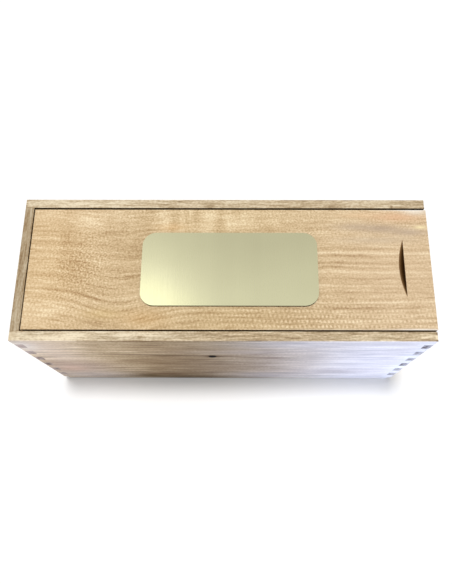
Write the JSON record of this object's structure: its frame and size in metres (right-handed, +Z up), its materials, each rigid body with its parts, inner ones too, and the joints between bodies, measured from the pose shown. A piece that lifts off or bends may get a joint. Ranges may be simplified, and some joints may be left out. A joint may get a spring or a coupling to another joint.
{
  "type": "wooden wine box",
  "caption": "Finger-jointed wooden box for one bottle, lying flat, with a grooved sliding lid, a crescent finger pull and a bare brass name plate.",
  "frame": {"origin": "middle of the underside of the bottom board, which the box stands on", "axes": "+X along the length to the open end, where the lid slides out, +Y to the back, +Z up"},
  "size_m": [0.3508, 0.131, 0.1325],
  "materials": {
    "wall_wood": "sanded, unvarnished",
    "lid_wood": "sanded, unvarnished",
    "plate_brass": "brushed satin",
    "adhesive_film": "matte",
    "nail_steel": "satin"
  },
  "bodies": {
    "box": {"front_board": "wall_wood", "back_board": "wall_wood", "closed_end_board": "wall_wood", "open_end_board": "wall_wood", "bottom_board": "wall_wood", "bottom_nails": "nail_steel"},
    "lid": {"lid_board": "lid_wood", "plate_adhesive": "adhesive_film", "name_plate": "plate_brass"}
  },
  "joints": [
    {"name": "lid_slide", "type": "slide", "parent": "box", "child": "lid", "axis": [1, 0, 0], "range_m": [0, 0.346]}
  ]
}
